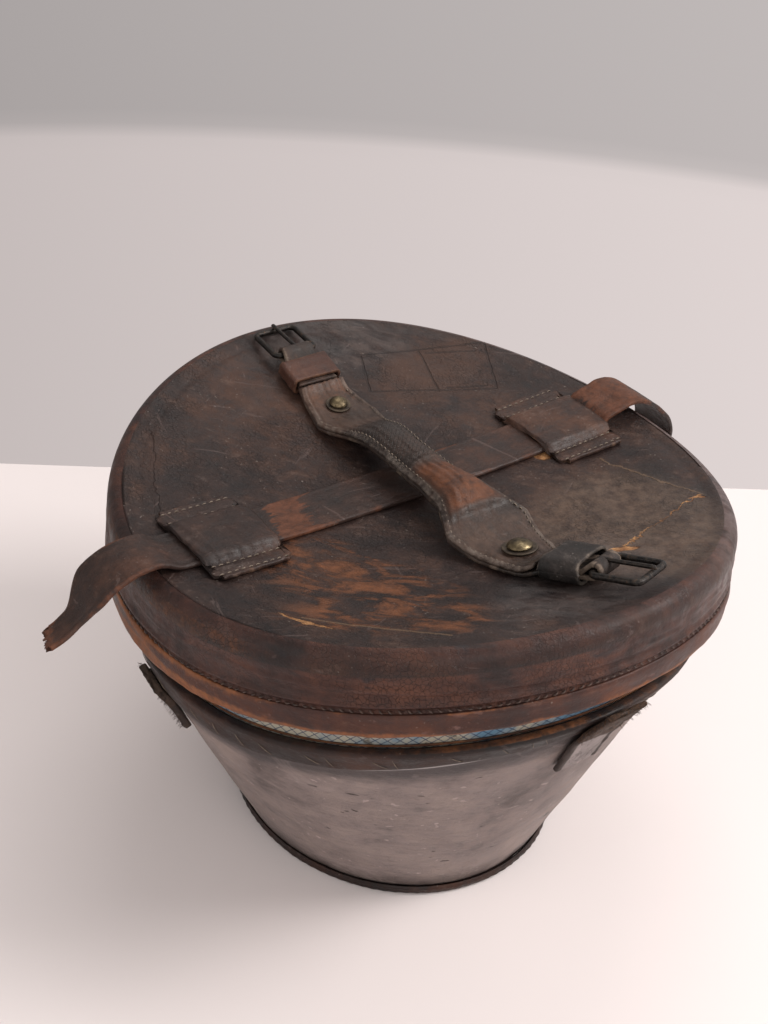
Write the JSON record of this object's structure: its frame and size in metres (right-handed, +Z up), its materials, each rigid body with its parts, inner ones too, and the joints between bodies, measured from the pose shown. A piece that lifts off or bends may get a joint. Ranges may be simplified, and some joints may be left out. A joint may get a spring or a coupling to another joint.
{
  "type": "leather top hat case",
  "caption": "Oval bucket-shaped leather hat case with a cloth-lined collar, a lift-off saddle-shaped lid, a padded buckled handle and a cross strap through sewn loops.",
  "frame": {"origin": "centre of the underside of the base", "axes": "+Z up, +X along the handle towards its front end, +Y along the cross strap towards its right end"},
  "size_m": [0.36, 0.4154, 0.2554],
  "materials": {
    "case_leather": "worn smooth",
    "lid_leather": "polished and worn",
    "edge_leather": "worn",
    "strap_leather": "worn",
    "handle_leather": "polished",
    "check_cloth": "woven check",
    "millboard": "pressed board",
    "iron": "blackened",
    "brass": "tarnished"
  },
  "bodies": {
    "case": {"base_board": "case_leather", "base_welt": "edge_leather", "body_wall": "case_leather", "body_lining": "check_cloth", "base_pad": "check_cloth", "collar_board": "millboard", "collar_cloth": "check_cloth", "body_binding": "edge_leather", "body_seam_strip": "case_leather", "front_tab": "strap_leather", "rear_tab": "strap_leather", "left_tab": "strap_leather", "right_tab": "strap_leather"},
    "lid": {"lid_shell": "lid_leather", "lid_rim_band": "edge_leather", "lid_top_board": "millboard", "lid_side_board": "millboard", "lid_lining": "check_cloth", "cross_strap": "strap_leather", "loop_left": "lid_leather", "loop_right": "lid_leather", "handle_strap": "handle_leather", "handle_grip": "handle_leather", "handle_core": "millboard", "keeper_rear": "strap_leather", "keeper_front": "strap_leather", "stud_rear": "brass", "stud_washer_rear": "brass", "stud_burr_rear": "brass", "stud_front": "brass", "stud_washer_front": "brass", "stud_burr_front": "brass"},
    "buckle_rear": {"buckle_frame_rear": "iron"},
    "buckle_front": {"buckle_frame_front": "iron"},
    "tongue_rear": {"buckle_tongue_rear": "iron"},
    "tongue_front": {"buckle_tongue_front": "iron"}
  },
  "joints": [
    {"name": "lid_lift", "type": "slide", "parent": "case", "child": "lid", "axis": [0, 0, 1], "range_m": [0, 0.1]},
    {"name": "buckle_rear_hinge", "type": "hinge", "parent": "lid", "child": "buckle_rear", "pos_m": [-0.13225, -0.00366, 0.23336], "axis": [-0.025, 0.9995, 0.0211], "range_deg": [0, 95]},
    {"name": "buckle_front_hinge", "type": "hinge", "parent": "lid", "child": "buckle_front", "pos_m": [0.13805, 0.01845, 0.24332], "axis": [0.3545, -0.9309, 0.0878], "range_deg": [0, 85]},
    {"name": "tongue_rear_hinge", "type": "hinge", "parent": "buckle_rear", "child": "tongue_rear", "pos_m": [-0.13225, -0.00366, 0.23336], "axis": [-0.025, 0.9995, 0.0211], "range_deg": [0, 40]},
    {"name": "tongue_front_hinge", "type": "hinge", "parent": "buckle_front", "child": "tongue_front", "pos_m": [0.13805, 0.01845, 0.24332], "axis": [0.3545, -0.9309, 0.0878], "range_deg": [0, 40]}
  ]
}
